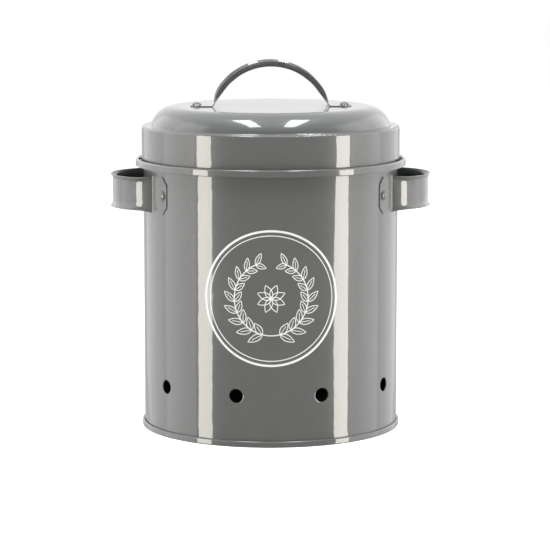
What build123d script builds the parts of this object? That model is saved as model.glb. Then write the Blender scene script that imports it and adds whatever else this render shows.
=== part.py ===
"""Round sheet-steel vegetable keeper with a lift-off lid. Millimetres, +Z up, front towards -Y."""

import os
from math import atan2, cos, degrees, radians, sin, sqrt, tan

from build123d import *

# Sheet steel and fits
sheet = 0.5
strap_gauge = 0.6
seat = 0.02
rivet_play = 0.1

# Body
body_d = 170.0
rim_z = 180.2
mouth_step = 3.5
mouth_depth = 4.2
lip_reach = 1.7
lip_drop = 4.4
bend_r = 1.0

# Base and its seam
floor_z = 3.6
seam_h = 4.1

# Vent holes, punched at even steps round the front, clear of the back seam
vent_d = 9.2
vent_z = 33.4
vent_count = 8
vent_pitch = 38.2
blank_turn = 1.9

# Lock seam up the back
fold_w = 5.0
fold_layers = 2
groove_w = 0.4
groove_deep = 0.2

# Lid
lid_float = 0.7
hem_gap = 0.7
hem_h = 2.4
skirt_h = 25.9
ledge_w = 6.1
shoulder_r = 1.4
crease_r = 0.8
dome_rise = 12.8
dome_r = 16.0
dome_lean = 12.0

# Straps
strap_w = 24.3
grip_w = 21.8
flare = 1.9
side_edge = 3.6
lid_edge = 5.2
strap_bend_r = 1.5
tab_cut = 4.7
tab_corner = 1.2
rivet_in = 4.3

# Side handles: finger_gap is from the wall to the loop's inner face at its widest
finger_gap = 19.8
side_r = 34.8
side_tab = 17.0
side_fade = 20.0
side_drop = 21.0

# Lid handle
arch_rise = 26.2
arch_r = 38.1
leg_angle = 53.0
foot_leg = 2.0
lid_tab = 14.8
lid_flare = 3.7

# Rivets
head_d = 7.0
head_h = 1.8
shank_d = 4.0
tail_d = 5.6
tail_h = 1.2

body_r = body_d / 2
wall_r = body_r - sheet / 2
shelf_z = rim_z - mouth_depth
mouth_r = body_r - sheet + mouth_step
lip_r = mouth_r + sheet + lip_reach
side_z = rim_z - side_drop


def side_line(points, radii, shift):
    """Edges of a bent centreline moved to its left by shift, with its corners rounded."""
    runs = [(b - a).normalized() for a, b in zip(points, points[1:])]
    lefts = [Vector(-d.Y, d.X) for d in runs]
    edges = []
    last = points[0] + lefts[0] * shift
    for i, corner in enumerate(points[1:-1]):
        before, after = lefts[i], lefts[i + 1]
        across = before + after
        corner = corner + across * (shift / (1 + before.dot(after)))
        turn = atan2(runs[i].cross(runs[i + 1]).Z, runs[i].dot(runs[i + 1]))
        radius = radii[i] - shift * (1 if turn > 0 else -1)
        back = radius * tan(abs(turn) / 2)
        inward = across.normalized() * (1 if turn > 0 else -1)
        centre = corner + inward * (radius / cos(turn / 2))
        start, end = corner - runs[i] * back, corner + runs[i + 1] * back
        if (start - last).length > 1e-4:
            edges.append(Line(last, start))
        edges.append(ThreePointArc(start, centre - inward * radius, end))
        last = end
    edges.append(Line(last, points[-1] + lefts[-1] * shift))
    return edges


def bent_sheet(points, radii, right, left):
    """Face between two lines that run right and left of a bent path given as (across, up) pairs."""
    points = [Vector(*p) for p in points]
    one = side_line(points, radii, right)
    other = side_line(points, radii, left)
    ends = [Line(one[0] @ 0, other[0] @ 0), Line(one[-1] @ 1, other[-1] @ 1)]
    return make_face(one + other + ends)


def spun(points, radii):
    """Sheet pressing turned about Z, its path given at mid gauge."""
    return revolve(Plane.XZ * bent_sheet(points, radii, -sheet / 2, sheet / 2), Axis.Z, 360)


def ring_sector(centre, radius, gauge, start, end):
    """Flat band of this gauge, centred on a radius, from start to end degrees."""
    def at(r, a):
        return Vector(centre.X + r * cos(radians(a)), centre.Y + r * sin(radians(a)))
    inner, outer = radius - gauge / 2, radius + gauge / 2
    middle = (start + end) / 2
    edges = [
        ThreePointArc(at(outer, start), at(outer, middle), at(outer, end)),
        Line(at(outer, end), at(inner, end)),
        ThreePointArc(at(inner, end), at(inner, middle), at(inner, start)),
        Line(at(inner, start), at(outer, start)),
    ]
    return make_face(edges)


def strap_section(width, edge, lift):
    """Strap section: flat in the middle, with an edge zone each side swept outward by lift."""
    flat = width / 2 - edge
    steps = [-1, -0.7, -0.4, 0, 0.5, 1, 1.5, 2, 2.4, 2.7, 3]
    inner, outer = [], []
    for s in steps:
        side = -1 if s < 1 else 1
        over = max(-s, s - 2, 0)
        slope = 2 * lift * over / edge * side
        normal = Vector(-slope, 1).normalized()
        across = flat * (s - 1) if over == 0 else side * (flat + edge * over)
        inner.append(Vector(across, lift * over**2))
        outer.append(inner[-1] + normal * strap_gauge)
    edges = [Spline(*inner), Line(inner[-1], outer[-1]), Spline(*outer[::-1]), Line(outer[0], inner[0])]
    return Wire(edges)


def flared_band(stations, edge):
    """Solid through strap sections; each station is (plane on the finger face, width, lift)."""
    return Solid.make_loft([plane * strap_section(width, edge, lift) for plane, width, lift in stations])


def cut_corners(blank, free_end):
    """Tab with its two end corners cut off and eased; free_end picks a number of end corners."""
    blank = chamfer(free_end(blank, 2), tab_cut)
    return fillet(free_end(blank, 4), tab_corner)


def eased(share):
    """0 to 1, quick at first and level at the end."""
    share = min(share, 1)
    return share * (2 - share)


def rivet(grip):
    """Domed rivet along Z: its head sits on z = 0 and its tail closes at z = -grip."""
    ball_r = (head_d**2 / 4 + head_h**2) / (2 * head_h)
    head = Pos(0, 0, head_h - ball_r) * Sphere(ball_r) & Pos(0, 0, head_h / 2) * Cylinder(head_d, head_h)
    shank = Pos(0, 0, -grip / 2) * Cylinder(shank_d / 2, grip)
    tail = Pos(0, 0, -grip - tail_h / 2) * Cylinder(tail_d / 2, tail_h)
    tail = fillet(tail.edges().group_by(Axis.Z)[0], tail_h / 3)
    return head + shank + tail


# Body wall: body hook, wall, step, mouth and rolled lip
layer = sheet + seat
hook_r = wall_r + 2 * layer
lip_bend = (lip_r - mouth_r - sheet) / 2
body_wall = spun(
    [
        (hook_r, seam_h - layer - sheet / 2),
        (hook_r, layer + sheet / 2),
        (wall_r, layer + sheet / 2),
        (wall_r, shelf_z - sheet / 2),
        (mouth_r + sheet / 2, shelf_z - sheet / 2),
        (mouth_r + sheet / 2, rim_z - sheet / 2),
        (lip_r - sheet / 2, rim_z - sheet / 2),
        (lip_r - sheet / 2, rim_z - lip_drop),
    ],
    [layer, layer, bend_r, bend_r, lip_bend, lip_bend],
)

# Lock seam: the folded layers stand inside the wall, a fine groove shows outside
fold_low = floor_z + sheet
fold_h = shelf_z - 2 * bend_r - fold_low
inner_r = body_r - sheet
fold_ring = Cylinder(inner_r + sheet / 2, fold_h) - Cylinder(inner_r - fold_layers * sheet, fold_h)
fold = Pos(0, 0, fold_low + fold_h / 2) * (fold_ring & Pos(0, inner_r, 0) * Box(fold_w, inner_r, fold_h))
groove = Pos(fold_w / 2, body_r, fold_low + fold_h / 2) * Box(groove_w, 2 * groove_deep, fold_h)
body_wall += Rot(0, 0, blank_turn) * fold
body_wall -= Rot(0, 0, blank_turn) * groove

# Vents, on both sides of the front
for i in range(vent_count):
    turn = blank_turn + (i - (vent_count - 1) / 2) * vent_pitch
    body_wall -= Rot(0, 0, turn) * Pos(0, -body_r, vent_z) * Rot(90, 0, 0) * Cylinder(vent_d / 2, 8 * sheet)

# Base pan: raised floor, chuck wall, outer layer of the seam and its hook behind the body hook
chuck_r = wall_r - layer
cover_r = wall_r + 3 * layer
base_pan = spun(
    [
        (0, floor_z - sheet / 2),
        (chuck_r, floor_z - sheet / 2),
        (chuck_r, sheet / 2),
        (cover_r, sheet / 2),
        (cover_r, seam_h - sheet / 2),
        (wall_r + layer, seam_h - sheet / 2),
        (wall_r + layer, 2 * layer + sheet / 2),
    ],
    [bend_r, layer, layer, layer, layer],
)

# Lid: flat top, dome, ledge, skirt and outward hem that stands on the mouth's shelf
hem_r = mouth_r - lid_float
lid_r = hem_r - sheet - hem_gap
ledge_z = shelf_z + skirt_h
lid_top = ledge_z + dome_rise
skirt_mid = lid_r - sheet / 2
crease_x = skirt_mid - ledge_w
hem_bend = (sheet + hem_gap) / 2
lid_shell = spun(
    [
        (0, lid_top - sheet / 2),
        (crease_x - dome_rise * tan(radians(dome_lean)), lid_top - sheet / 2),
        (crease_x, ledge_z - sheet / 2),
        (skirt_mid, ledge_z - sheet / 2),
        (skirt_mid, shelf_z + sheet / 2),
        (hem_r - sheet / 2, shelf_z + sheet / 2),
        (hem_r - sheet / 2, shelf_z + hem_h),
    ],
    [dome_r - sheet / 2, crease_r + sheet / 2, shoulder_r - sheet / 2, hem_bend, hem_bend],
)

# Right side handle in plan: tab on the wall, outward bend, round loop, then the same behind
tab_r = body_r + seat + strap_gauge / 2
loop_x = body_r + finger_gap - side_r
bend_mid = strap_bend_r + strap_gauge / 2
near = tab_r + bend_mid
far = side_r + strap_gauge / 2 + bend_mid
bend_x = (near**2 - far**2 + loop_x**2) / (2 * loop_x)
bend_y = -sqrt(near**2 - bend_x**2)
tab_end = degrees(atan2(bend_y, bend_x))
tab_start = tab_end - degrees(side_tab / tab_r)
loop_end = degrees(atan2(bend_y, bend_x - loop_x))
rivet_turn = tab_start + degrees(rivet_in / tab_r)


def on_wall(radius):
    """Plane square to the wall at the right front rivet, its Z outward."""
    across, along = cos(radians(rivet_turn)), sin(radians(rivet_turn))
    return Plane(origin=(radius * across, radius * along, side_z), x_dir=(0, 0, 1), z_dir=(across, along, 0))


hole = Cylinder(shank_d / 2 + rivet_play, 6 * strap_gauge)
tab = extrude(ring_sector(Vector(0, 0), tab_r, strap_gauge, tab_start, tab_end), strap_w)
tab = cut_corners(
    tab,
    lambda blank, count: blank.edges().filter_by(lambda e: abs(e.length - strap_gauge) < seat)
    .sort_by(Axis.Y)[:count],
)
tab += extrude(
    ring_sector(Vector(bend_x, bend_y), bend_mid, strap_gauge, loop_end + 180, tab_end + 180), strap_w
)
tab = Pos(0, 0, side_z - strap_w / 2) * tab - on_wall(tab_r) * hole

stations = []
for i in range(-7, 8):
    turn = radians(loop_end * i / 7)
    share = eased((1 - abs(i / 7)) * abs(loop_end) / side_fade)
    spot = (loop_x + side_r * cos(turn), side_r * sin(turn), side_z)
    plane = Plane(origin=spot, x_dir=(0, 0, 1), z_dir=(-sin(turn), cos(turn), 0))
    stations.append((plane, strap_w - (strap_w - grip_w) * share, flare * share))
right_side_handle = flared_band(stations, side_edge) + tab + mirror(tab, Plane.XZ)
left_side_handle = mirror(right_side_handle, Plane.YZ)

# Side handle rivets, through tab and wall
tail_face = sqrt(inner_r**2 - (tail_d / 2) ** 2)
head_face = tab_r + strap_gauge / 2
front_rivet = on_wall(head_face) * rivet(head_face - tail_face)
rear_rivet = mirror(front_rivet, Plane.XZ)
drilled = on_wall(wall_r) * hole
drilled += mirror(drilled, Plane.XZ)
body_wall -= drilled
body_wall -= mirror(drilled, Plane.YZ)

# Lid handle: arch on straight legs, each leg bent out to a flat tab
slope = radians(leg_angle)
foot_z = lid_top + seat
arch_z = lid_top + arch_rise - arch_r
leg_x, leg_z = arch_r * sin(slope), arch_z + arch_r * cos(slope)
leg_len = (leg_z - foot_z) / sin(slope)
foot_x = leg_x + leg_len * cos(slope)
tab_x = foot_x + lid_tab
rivet_x = tab_x - rivet_in
foot_line = [
    (foot_x - foot_leg * cos(slope), foot_z + foot_leg * sin(slope)),
    (foot_x, foot_z),
    (tab_x, foot_z),
]
foot_side = Plane.XZ * bent_sheet(foot_line, [strap_bend_r + strap_gauge], 0, strap_gauge)
foot = extrude(foot_side, strap_w / 2, both=True)
foot = cut_corners(
    foot, lambda blank, count: blank.edges().filter_by(Axis.Z).sort_by(Axis.X)[-count:]
)
foot -= Pos(rivet_x, 0, foot_z) * hole

stations = []
for i in range(5):
    share = i / 5
    run = (1 - share) * (leg_len - foot_leg)
    spot = (-leg_x - run * cos(slope), 0, leg_z - run * sin(slope))
    plane = Plane(origin=spot, x_dir=(0, 1, 0), z_dir=(cos(slope), 0, sin(slope)))
    share = eased(share)
    stations.append((plane, strap_w - (strap_w - grip_w) * share, lid_flare * share))
for i in range(-5, 6):
    turn = slope * i / 5
    spot = (arch_r * sin(turn), 0, arch_z + arch_r * cos(turn))
    plane = Plane(origin=spot, x_dir=(0, 1, 0), z_dir=(cos(turn), 0, -sin(turn)))
    stations.append((plane, grip_w, lid_flare))
for i in range(4, -1, -1):
    share = i / 5
    run = (1 - share) * (leg_len - foot_leg)
    spot = (leg_x + run * cos(slope), 0, leg_z - run * sin(slope))
    plane = Plane(origin=spot, x_dir=(0, 1, 0), z_dir=(cos(slope), 0, -sin(slope)))
    share = eased(share)
    stations.append((plane, strap_w - (strap_w - grip_w) * share, lid_flare * share))
left_half = split(flared_band(stations, lid_edge), Plane.YZ, keep=Keep.BOTTOM)
left_half += mirror(foot, Plane.YZ)
lid_handle = left_half + mirror(left_half, Plane.YZ)

lid_rivet = Pos(rivet_x, 0, foot_z + strap_gauge) * rivet(foot_z + strap_gauge - lid_top + sheet)
drilled = Pos(rivet_x, 0, lid_top) * hole
lid_shell -= drilled
lid_shell -= mirror(drilled, Plane.YZ)

pieces = {
    "body_wall": [body_wall],
    "base_pan": [base_pan],
    "left_side_handle": [left_side_handle],
    "right_side_handle": [right_side_handle],
    "left_handle_rivets": [mirror(front_rivet, Plane.YZ), mirror(rear_rivet, Plane.YZ)],
    "right_handle_rivets": [front_rivet, rear_rivet],
    "lid_shell": [lid_shell],
    "lid_handle": [lid_handle],
    "lid_handle_rivets": [lid_rivet, mirror(lid_rivet, Plane.YZ)],
}
os.makedirs("parts", exist_ok=True)
for name, shapes in pieces.items():
    group = Compound(label=name, children=[s for shape in shapes for s in shape.solids()])
    export_step(group, f"parts/{name}.step")
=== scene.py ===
# Round vegetable keeper in gloss grey enamel, with a printed badge, on a plain pale floor.
# Metres, +Z up, front towards -Y.
import math

import bmesh
import bpy
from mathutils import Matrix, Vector


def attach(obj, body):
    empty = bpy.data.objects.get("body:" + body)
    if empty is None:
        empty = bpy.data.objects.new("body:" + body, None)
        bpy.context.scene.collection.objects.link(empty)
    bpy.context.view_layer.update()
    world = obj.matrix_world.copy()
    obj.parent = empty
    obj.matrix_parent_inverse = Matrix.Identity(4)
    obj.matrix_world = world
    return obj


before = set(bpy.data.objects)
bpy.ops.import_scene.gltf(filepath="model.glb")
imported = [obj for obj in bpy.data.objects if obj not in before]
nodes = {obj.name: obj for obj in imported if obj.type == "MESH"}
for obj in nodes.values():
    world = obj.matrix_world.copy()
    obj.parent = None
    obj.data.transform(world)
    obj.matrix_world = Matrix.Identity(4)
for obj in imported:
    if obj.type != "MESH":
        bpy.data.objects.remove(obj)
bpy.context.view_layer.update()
print("frame loaded:", len(nodes), "CAD nodes")

mm = 0.001
wallRadius = 85.0 * mm


def linear(hexColour):
    # sRGB hex to the linear values that the shader wants
    raw = [int(hexColour[i:i + 2], 16) / 255 for i in (1, 3, 5)]
    return [c / 12.92 if c <= 0.04045 else ((c + 0.055) / 1.055) ** 2.4 for c in raw] + [1.0]


def addNode(tree, kind, inputs=None, links=None, **settings):
    # one shader node with its settings, input values and incoming links; a Mix node takes its factor
    # at input 0, its numbers at 2 and 3, and its colours at 6 and 7
    node = tree.nodes.new(kind)
    for name, value in settings.items():
        setattr(node, name, value)
    for socket, value in (inputs or {}).items():
        node.inputs[socket].default_value = value
    for socket, source in (links or {}).items():
        tree.links.new(source, node.inputs[socket])
    return node


def newMaterial(name):
    material = bpy.data.materials.new(name)
    material.use_nodes = True
    material.node_tree.nodes.clear()
    return material, material.node_tree


# Gloss enamel
# Stoved gloss enamel sprayed on drawn sheet steel: it reads as an even mid grey under a clear,
# hard-edged mirror, and its faint orange peel makes the edges of long reflections waver.
# The finger side of the side handles gets painted shade: it is coloured nearly black for the shade that
# falls inside the loop.
enamel = {
    "colour": "#6a6b69",
    "deeper": "#666765",
    "fingerSide": "#2f3031",
    "ior": 1.5,
    "haze": 0.32,
    "hazeLevel": 0.3,
    "coatRoughness": 0.03,
    "peelWidth": 5.5 * mm,
    "peelDepth": 0.03 * mm,
}

# the punched vents: paint draws back from a sharp edge, which leaves a soft shallow roll round each hole
vents = {
    "count": 8,
    "turn": 1.9,
    "pitch": 38.2,
    "height": 33.4 * mm,
    "radius": 4.6 * mm,
    "roll": 0.7 * mm,
    "rollDepth": 0.18 * mm,
}

# the side handles' loops are round about vertical axes at this distance from the middle
loopAxis = 70 * mm
# how squarely a surface must face the loop's axis for the painted shade on the finger side to start and to
# be full
fingerShadeFacing = {"start": 0.05, "full": 0.4}


def fingerSide(tree, place, axis):
    # mask of the painted shade: 1 on the face that looks at the loop's axis, 0 on the outer face
    fromAxis = addNode(
        tree, "ShaderNodeVectorMath", {1: (axis, 0, 0)}, {0: place.outputs["Object"]}, operation="SUBTRACT",
    )
    flat = addNode(
        tree, "ShaderNodeVectorMath", {1: (1, 1, 0)}, {0: fromAxis.outputs[0]}, operation="MULTIPLY",
    )
    outward = addNode(tree, "ShaderNodeVectorMath", links={0: flat.outputs[0]}, operation="NORMALIZE")
    surface = addNode(tree, "ShaderNodeNewGeometry")
    facing = addNode(
        tree, "ShaderNodeVectorMath", links={0: outward.outputs[0], 1: surface.outputs["True Normal"]},
        operation="DOT_PRODUCT",
    )
    return addNode(
        tree, "ShaderNodeMapRange",
        {"From Min": -fingerShadeFacing["start"], "From Max": -fingerShadeFacing["full"]},
        {"Value": facing.outputs["Value"]}, interpolation_type="SMOOTHSTEP",
    ).outputs["Result"]


def ventRims(tree, place):
    # height field with a soft roll round each vent: the wall is unrolled and cut in cells one pitch wide
    parts = addNode(tree, "ShaderNodeSeparateXYZ", links={0: place.outputs["Object"]})
    back = addNode(tree, "ShaderNodeMath", {1: -1}, {0: parts.outputs["Y"]}, operation="MULTIPLY")
    turn = addNode(
        tree, "ShaderNodeMath", links={0: parts.outputs["X"], 1: back.outputs[0]}, operation="ARCTAN2",
    )
    pitch = math.radians(vents["pitch"])
    firstCell = pitch * vents["count"] / 2 - math.radians(vents["turn"])
    shifted = addNode(tree, "ShaderNodeMath", {1: firstCell}, {0: turn.outputs[0]}, operation="ADD")
    cell = addNode(tree, "ShaderNodeMath", {1: pitch}, {0: shifted.outputs[0]}, operation="FLOORED_MODULO")
    along = addNode(tree, "ShaderNodeMath", {1: pitch / 2}, {0: cell.outputs[0]}, operation="SUBTRACT")
    u = addNode(tree, "ShaderNodeMath", {1: wallRadius}, {0: along.outputs[0]}, operation="MULTIPLY")
    v = addNode(tree, "ShaderNodeMath", {1: vents["height"]}, {0: parts.outputs["Z"]}, operation="SUBTRACT")
    spot = addNode(tree, "ShaderNodeCombineXYZ", links={0: u.outputs[0], 1: v.outputs[0]})
    reach = addNode(tree, "ShaderNodeVectorMath", links={0: spot.outputs[0]}, operation="LENGTH")
    return addNode(
        tree, "ShaderNodeMapRange",
        {"From Min": vents["radius"], "From Max": vents["radius"] + vents["roll"]},
        {"Value": reach.outputs["Value"]}, interpolation_type="SMOOTHSTEP",
    ).outputs["Result"]


def makeEnamel(name, axis=None, vented=False):
    # axis is given for a loop whose finger side gets painted shade, vented for the wall with the holes
    material, tree = newMaterial(name)
    place = addNode(tree, "ShaderNodeTexCoord")
    peel = addNode(
        tree, "ShaderNodeTexNoise",
        {"Scale": 1 / enamel["peelWidth"], "Detail": 1.0, "Roughness": 0.4},
        {"Vector": place.outputs["Object"]},
    )
    tint = addNode(
        tree, "ShaderNodeMix",
        {6: linear(enamel["deeper"]), 7: linear(enamel["colour"])},
        {0: peel.outputs["Fac"]},
        data_type="RGBA",
    )
    paint = tint.outputs[2]
    # on a loop, the finger side is painted nearly black as shade
    if axis:
        shaded = addNode(
            tree, "ShaderNodeMix", {7: linear(enamel["fingerSide"])},
            {0: fingerSide(tree, place, axis), 6: paint}, data_type="RGBA",
        )
        paint = shaded.outputs[2]
    wave = addNode(
        tree, "ShaderNodeBump", {"Strength": 1.0, "Distance": enamel["peelDepth"]},
        {"Height": peel.outputs["Fac"]},
    )
    if vented:
        wave = addNode(
            tree, "ShaderNodeBump", {"Strength": 1.0, "Distance": vents["rollDepth"]},
            {"Height": ventRims(tree, place), "Normal": wave.outputs["Normal"]},
        )
    shader = addNode(
        tree, "ShaderNodeBsdfPrincipled",
        {
            "IOR": enamel["ior"],
            "Roughness": enamel["haze"],
            "Specular IOR Level": enamel["hazeLevel"],
            "Coat Weight": 1.0,
            "Coat Roughness": enamel["coatRoughness"],
            "Coat IOR": enamel["ior"],
        },
        {"Base Color": paint, "Normal": wave.outputs["Normal"], "Coat Normal": wave.outputs["Normal"]},
    )
    addNode(tree, "ShaderNodeOutputMaterial", links={"Surface": shader.outputs["BSDF"]})
    return material


greyEnamel = makeEnamel("greyEnamel")
coats = {
    "body_wall": makeEnamel("ventedEnamel", vented=True),
    "left_side_handle": makeEnamel("leftLoopEnamel", -loopAxis),
    "right_side_handle": makeEnamel("rightLoopEnamel", loopAxis),
}
for name, node in nodes.items():
    for slot in node.material_slots:
        slot.material = coats.get(name, greyEnamel)
print("enamel on", len(nodes), "nodes")

# Printed badge
# Screen-printed white ink, cured on the enamel: flat and a little duller than the paint.
printInk = {"colour": "#f3f3f1", "roughness": 0.32, "speckWidth": 0.5 * mm, "speckDepth": 0.002 * mm}


def makeInk(name):
    material, tree = newMaterial(name)
    place = addNode(tree, "ShaderNodeTexCoord")
    speck = addNode(
        tree, "ShaderNodeTexNoise", {"Scale": 1 / printInk["speckWidth"], "Detail": 1.0},
        {"Vector": place.outputs["Object"]},
    )
    skin = addNode(
        tree, "ShaderNodeBump", {"Strength": 1.0, "Distance": printInk["speckDepth"]},
        {"Height": speck.outputs["Fac"]},
    )
    shader = addNode(
        tree, "ShaderNodeBsdfPrincipled",
        {"Base Color": linear(printInk["colour"]), "Roughness": printInk["roughness"]},
        {"Normal": skin.outputs["Normal"]},
    )
    addNode(tree, "ShaderNodeOutputMaterial", links={"Surface": shader.outputs["BSDF"]})
    return material


whiteInk = makeInk("whiteInk")

# the badge is drawn flat in millimetres, u to the right and v up from its centre
badge = {
    "turn": -1.7,
    "height": 97.2,
    "outerRadius": 43.6,
    "outerLine": 1.45,
    "innerRadius": 40.6,
    "innerLine": 0.6,
    "ringSteps": 180,
    "line": 0.55,
    "stemWeight": 1.3,
    "veinWeight": 0.8,
    "wreathRadius": 24.0,
    "stemSteps": 60,
    "stemReach": 158,
    "wreathLeaves": 9,
    "firstLeaf": 14,
    "leafSpread": 142,
    "leafLean": 42,
    "leafLength": 10.5,
    "leafWidth": 4.2,
    "leafBelly": 0.8,
    "leafPoint": 0.9,
    "leafSteps": 12,
    "innerLeaf": 0.85,
    "taper": 0.25,
    "veinReach": 0.72,
    "petals": 8,
    "petalLength": 9.5,
    "petalWidth": 4.6,
    "filmLift": 0.03,
    "filmThickness": 0.05,
}


def circlePoint(radius, degrees, centre=(0, 0)):
    turn = math.radians(degrees)
    return centre[0] + radius * math.cos(turn), centre[1] + radius * math.sin(turn)


def arcPoints(radius, start, end, count):
    return [circlePoint(radius, start + (end - start) * i / count) for i in range(count + 1)]


def strokeOutline(points, width, closed=False):
    # a drawn line of this width, as pairs of its left and right points, and whether it closes
    pairs = []
    last = len(points) - 1
    for i, (u, v) in enumerate(points):
        if closed:
            before, after = points[i - 1], points[(i + 1) % (last + 1)]
        else:
            before, after = points[max(i - 1, 0)], points[min(i + 1, last)]
        du, dv = after[0] - before[0], after[1] - before[1]
        size = math.hypot(du, dv) or 1
        along, up = du / size * width / 2, dv / size * width / 2
        pairs.append([(u - up, v + along), (u + up, v - along)])
    return pairs, closed


def leafPoints(root, angle, length, width):
    # closed outline of a pointed leaf, out along one side and back along the other
    cosA, sinA = math.cos(math.radians(angle)), math.sin(math.radians(angle))
    count = badge["leafSteps"]
    sides = []
    for side in (1, -1):
        for i in range(count):
            share = i / count if side == 1 else 1 - i / count
            along = length * share
            across = side * width / 2 * math.sin(math.pi * share ** badge["leafBelly"]) ** badge["leafPoint"]
            sides.append((root[0] + along * cosA - across * sinA, root[1] + along * sinA + across * cosA))
    return sides


def drawBadge():
    strokes = []
    for ring in ("outer", "inner"):
        circle = arcPoints(badge[ring + "Radius"], 0, 360, badge["ringSteps"])[:-1]
        strokes.append(strokeOutline(circle, badge[ring + "Line"], True))
    fine = badge["line"]
    for side in (1, -1):
        stem = arcPoints(badge["wreathRadius"], -90, -90 + side * badge["stemReach"], badge["stemSteps"])
        strokes.append(strokeOutline(stem, fine * badge["stemWeight"]))
        for i in range(badge["wreathLeaves"]):
            share = i / (badge["wreathLeaves"] - 1)
            turn = -90 + side * (badge["firstLeaf"] + badge["leafSpread"] * share)
            root = circlePoint(badge["wreathRadius"], turn)
            size = 1 - badge["taper"] * i / badge["wreathLeaves"]
            for out in (1, -1):
                angle = turn + side * (90 - out * badge["leafLean"])
                length, width = badge["leafLength"] * size, badge["leafWidth"] * size
                if out == -1:
                    length *= badge["innerLeaf"]
                outline = leafPoints(root, angle, length, width)
                strokes.append(strokeOutline(outline, fine, True))
                tip = circlePoint(length * badge["veinReach"], angle, root)
                middle = ((root[0] + tip[0]) / 2, (root[1] + tip[1]) / 2)
                strokes.append(strokeOutline([root, middle, tip], fine * badge["veinWeight"]))
    step = 360 / badge["petals"]
    for petal in range(badge["petals"]):
        outline = leafPoints((0, 0), step * (petal + 0.5), badge["petalLength"], badge["petalWidth"])
        strokes.append(strokeOutline(outline, fine, True))
    return strokes


def wrapOnWall(name, strokes):
    # lays the flat drawing on the round wall as a thin closed film
    base = wallRadius + badge["filmLift"] * mm
    mesh = bmesh.new()

    def onWall(point):
        turn = point[0] * mm / wallRadius + math.radians(badge["turn"])
        z = (badge["height"] + point[1]) * mm
        return Vector((base * math.sin(turn), -base * math.cos(turn), z))

    for pairs, closed in strokes:
        rows = [[mesh.verts.new(onWall(p)) for p in pair] for pair in pairs]
        for i in range(len(rows) if closed else len(rows) - 1):
            a, b = rows[i], rows[(i + 1) % len(rows)]
            mesh.faces.new([a[0], a[1], b[1], b[0]])
    bmesh.ops.recalc_face_normals(mesh, faces=mesh.faces[:])
    for face in mesh.faces:
        centre = face.calc_center_median()
        if face.normal.dot(Vector((centre.x, centre.y, 0))) < 0:
            face.normal_flip()
    data = bpy.data.meshes.new(name)
    mesh.to_mesh(data)
    mesh.free()
    data.materials.append(whiteInk)
    piece = bpy.data.objects.new(name, data)
    bpy.context.scene.collection.objects.link(piece)
    film = piece.modifiers.new("film", "SOLIDIFY")
    film.thickness = badge["filmThickness"] * mm
    film.offset = 1
    return piece


badgePrint = wrapOnWall("badge_print", drawBadge())
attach(badgePrint, "bin")
print("badge printed")

# Studio
# A light tent in metres and degrees: tall strips at the front corners, long strips overhead, lit side
# walls, a white back and a white table. Strip azimuths are from the camera's side of the object,
# positive to the right. A brightness is per area, so a lamp looks as bright at any size.
strips = {
    "turn": 1.95,
    "distance": 1.2,
    "low": -0.35,
    "high": 0.55,
    "colour": (1.0, 0.95, 0.88),
    "lamps": {
        "stripLeft": {"from": -66, "to": -52, "brightness": 11.0},
        "stripRight": {"from": 58, "to": 71.5, "brightness": 12.0},
    },
}
overhead = {
    "side": 0.29,
    "y": -0.36,
    "z": 1.25,
    "width": 0.2,
    "length": 0.84,
    "brightness": 16.0,
    "colour": (0.93, 0.98, 1.0),
}
sideWalls = {
    "side": 1.15,
    "z": 0.4,
    "height": 1.6,
    "colour": (0.96, 0.985, 1.0),
    "lamps": {
        "Front": {"y": -0.02, "length": 0.76, "brightness": 1.25},
        "Rear": {"y": 1.33, "length": 1.94, "brightness": 0.56},
    },
}
# the surround's brightness for matt and for mirrored rays; the last two are where, along a ray's
# direction from front to back, it starts to rise from the dark front and is fully white
surround = {
    "onMatt": 0.14,
    "back": 1.0,
    "front": 0.08,
    "belowHorizon": 0.62,
    "horizonBand": 0.08,
    "riseFrom": -0.45,
    "riseTo": 0.4,
}
table = {"colour": "#e4e4e4", "glow": 0.88, "reach": 6.0}


def placeLight(name, spot, aim, width, height, brightness, colour):
    # soft box that the camera doesn't see
    data = bpy.data.lights.new(name, "AREA")
    data.shape = "RECTANGLE"
    data.size, data.size_y = width, height
    data.energy = brightness * math.pi * width * height
    data.color = colour
    light = bpy.data.objects.new(name, data)
    light.location = spot
    light.rotation_euler = (Vector(aim) - Vector(spot)).to_track_quat("-Z", "Y").to_euler()
    light.visible_camera = False
    bpy.context.scene.collection.objects.link(light)


for name, strip in strips["lamps"].items():
    width = 2 * strips["distance"] * math.tan(math.radians((strip["to"] - strip["from"]) / 2))
    turn = math.radians((strip["from"] + strip["to"]) / 2 - strips["turn"])
    x, y = strips["distance"] * math.sin(turn), -strips["distance"] * math.cos(turn)
    z = (strips["low"] + strips["high"]) / 2
    height = strips["high"] - strips["low"]
    placeLight(name, (x, y, z), (0, 0, z), width, height, strip["brightness"], strips["colour"])
for name, side in (("overheadLeft", -1), ("overheadRight", 1)):
    x, y = side * overhead["side"], overhead["y"]
    placeLight(
        name, (x, y, overhead["z"]), (x, y, 0),
        overhead["width"], overhead["length"], overhead["brightness"], overhead["colour"],
    )
for name, side in (("wallLeft", -1), ("wallRight", 1)):
    for part, wall in sideWalls["lamps"].items():
        z = sideWalls["z"]
        placeLight(
            name + part, (side * sideWalls["side"], wall["y"], z), (0, wall["y"], z),
            wall["length"], sideWalls["height"], wall["brightness"], sideWalls["colour"],
        )
print("lights placed")

world = bpy.data.worlds.new("paleSurround")
bpy.context.scene.world = world
world.use_nodes = True
worldTree = world.node_tree
worldTree.nodes.clear()
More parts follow.
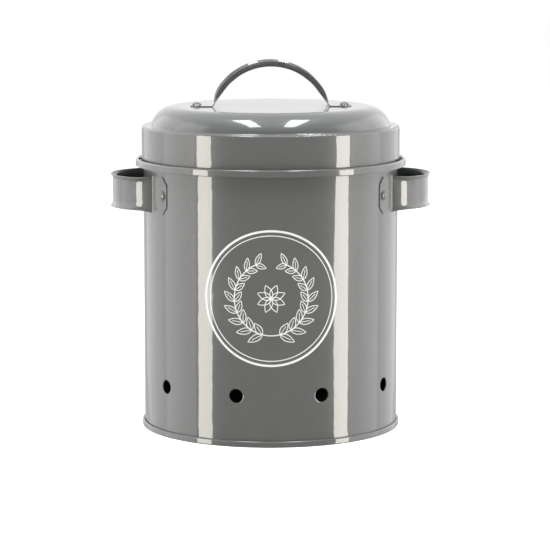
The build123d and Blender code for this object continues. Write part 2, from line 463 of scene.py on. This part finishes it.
# it is white to the camera, and in the gloss it is white behind and dark in front
direction = addNode(worldTree, "ShaderNodeTexCoord")
parts = addNode(worldTree, "ShaderNodeSeparateXYZ", links={0: direction.outputs["Generated"]})
depth = addNode(
    worldTree, "ShaderNodeMapRange",
    {
        "From Min": surround["riseFrom"],
        "From Max": surround["riseTo"],
        "To Min": surround["front"],
        "To Max": surround["back"],
    },
    {"Value": parts.outputs["Y"]},
    interpolation_type="SMOOTHSTEP",
)
rays = addNode(worldTree, "ShaderNodeLightPath")
# below the horizon it is dimmer, as the far table is
horizon = addNode(
    worldTree, "ShaderNodeMapRange",
    {"From Min": -surround["horizonBand"], "From Max": 0.0, "To Min": surround["belowHorizon"]},
    {"Value": parts.outputs["Z"]},
)
inGloss = addNode(
    worldTree, "ShaderNodeMath", operation="MULTIPLY",
    links={0: depth.outputs["Result"], 1: horizon.outputs["Result"]},
)
onMatt = addNode(
    worldTree, "ShaderNodeMix", {2: surround["onMatt"]},
    {0: rays.outputs["Is Glossy Ray"], 3: inGloss.outputs[0]}, data_type="FLOAT",
)
strength = addNode(
    worldTree, "ShaderNodeMix", {3: 1.0},
    {0: rays.outputs["Is Camera Ray"], 2: onMatt.outputs[0]}, data_type="FLOAT",
)
white = addNode(
    worldTree, "ShaderNodeBackground", {"Color": (1, 1, 1, 1)}, {"Strength": strength.outputs[0]},
)
addNode(worldTree, "ShaderNodeOutputWorld", links={"Surface": white.outputs["Background"]})
print("surround set")

# Pale floor: nearly white to the camera, with the object's shadow kept, and left out of the gloss
reach = table["reach"]
corners = [(-reach, -reach, 0), (reach, -reach, 0), (reach, reach, 0), (-reach, reach, 0)]
floorData = bpy.data.meshes.new("floor")
floorData.from_pydata(corners, [], [(0, 1, 2, 3)])
floor = bpy.data.objects.new("floor", floorData)
bpy.context.scene.collection.objects.link(floor)
floor.visible_glossy = False
floorMaterial, floorTree = newMaterial("paleFloor")
floorMatt = addNode(floorTree, "ShaderNodeBsdfDiffuse", {"Color": linear(table["colour"])})
floorRays = addNode(floorTree, "ShaderNodeLightPath")
glow = addNode(
    floorTree, "ShaderNodeMath", {1: table["glow"]}, {0: floorRays.outputs["Is Camera Ray"]},
    operation="MULTIPLY",
)
floorGlow = addNode(floorTree, "ShaderNodeEmission", links={"Strength": glow.outputs[0]})
floorSum = addNode(
    floorTree, "ShaderNodeAddShader", links={0: floorMatt.outputs[0], 1: floorGlow.outputs[0]},
)
addNode(floorTree, "ShaderNodeOutputMaterial", links={"Surface": floorSum.outputs[0]})
floorData.materials.append(floorMaterial)
print("floor laid")

# Camera, at the photograph's place
camera = {
    "place": (-0.0579, -1.7000, 0.3424),
    "pitch": 8.092,
    "turn": -1.95,
    "lens": 167.1,
    "sensor": 36,
    "shiftX": 0.008,
}
cameraData = bpy.data.cameras.new("camera")
cameraData.lens = camera["lens"]
cameraData.sensor_width = camera["sensor"]
cameraData.shift_x = camera["shiftX"]
cameraData.clip_start, cameraData.clip_end = 0.05, 50
cameraObject = bpy.data.objects.new("camera", cameraData)
cameraObject.location = camera["place"]
cameraObject.rotation_euler = (math.radians(90 - camera["pitch"]), 0, math.radians(camera["turn"]))
bpy.context.scene.collection.objects.link(cameraObject)
bpy.context.scene.camera = cameraObject
bpy.context.scene.view_settings.view_transform = "Standard"
print("camera set")
